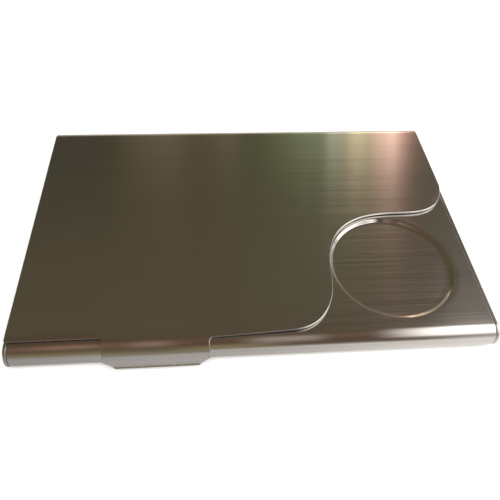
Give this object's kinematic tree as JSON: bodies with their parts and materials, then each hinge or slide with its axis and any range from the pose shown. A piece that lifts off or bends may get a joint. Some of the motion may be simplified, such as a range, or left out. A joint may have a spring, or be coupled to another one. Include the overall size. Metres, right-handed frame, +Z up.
{
  "type": "business card case",
  "caption": "Slim hinged business card case in brushed steel sheet, lid with an S-shaped cut round a shallow disc recess, thumb tab at the front.",
  "frame": {"origin": "centre of the closed case's bounding box in X and Y, at the height of the flat underside", "axes": "+X along the long side, with the disc recess towards +X; -Y is the front edge with the thumb tab and +Y the hinged edge; +Z up through the lid"},
  "size_m": [0.0954, 0.0661, 0.0065],
  "materials": {
    "lid_steel": "long-grain brushed along the long side",
    "base_steel": "long-grain brushed along the long side",
    "frame_steel": "satin, edges rounded",
    "hinge_steel": "bright turned steel",
    "spring_steel": "bright rolled spring strip"
  },
  "bodies": {
    "base": {"base_shell": "base_steel", "left_end_frame": "frame_steel", "right_end_frame": "frame_steel", "left_hinge_pin": "hinge_steel", "right_hinge_pin": "hinge_steel", "left_hinge_washer": "hinge_steel", "right_hinge_washer": "hinge_steel"},
    "lid": {"lid_shell": "lid_steel", "left_lid_ear": "frame_steel", "right_lid_ear": "frame_steel"},
    "spring_leaf": {"card_spring": "spring_steel"}
  },
  "joints": [
    {"name": "lid_hinge", "type": "hinge", "parent": "base", "child": "lid", "pos_m": [0, 0.02983, 0.00323], "axis": [-1, 0, 0], "range_deg": [0, 100]},
    {"name": "card_spring_flex", "type": "hinge", "parent": "lid", "child": "spring_leaf", "pos_m": [-0.014, 0.01655, 0.0059], "axis": [-1, 0, 0], "range_deg": [0, 1.5], "stiffness_Nm_per_rad": 0.4, "springref_deg": -0.57}
  ]
}
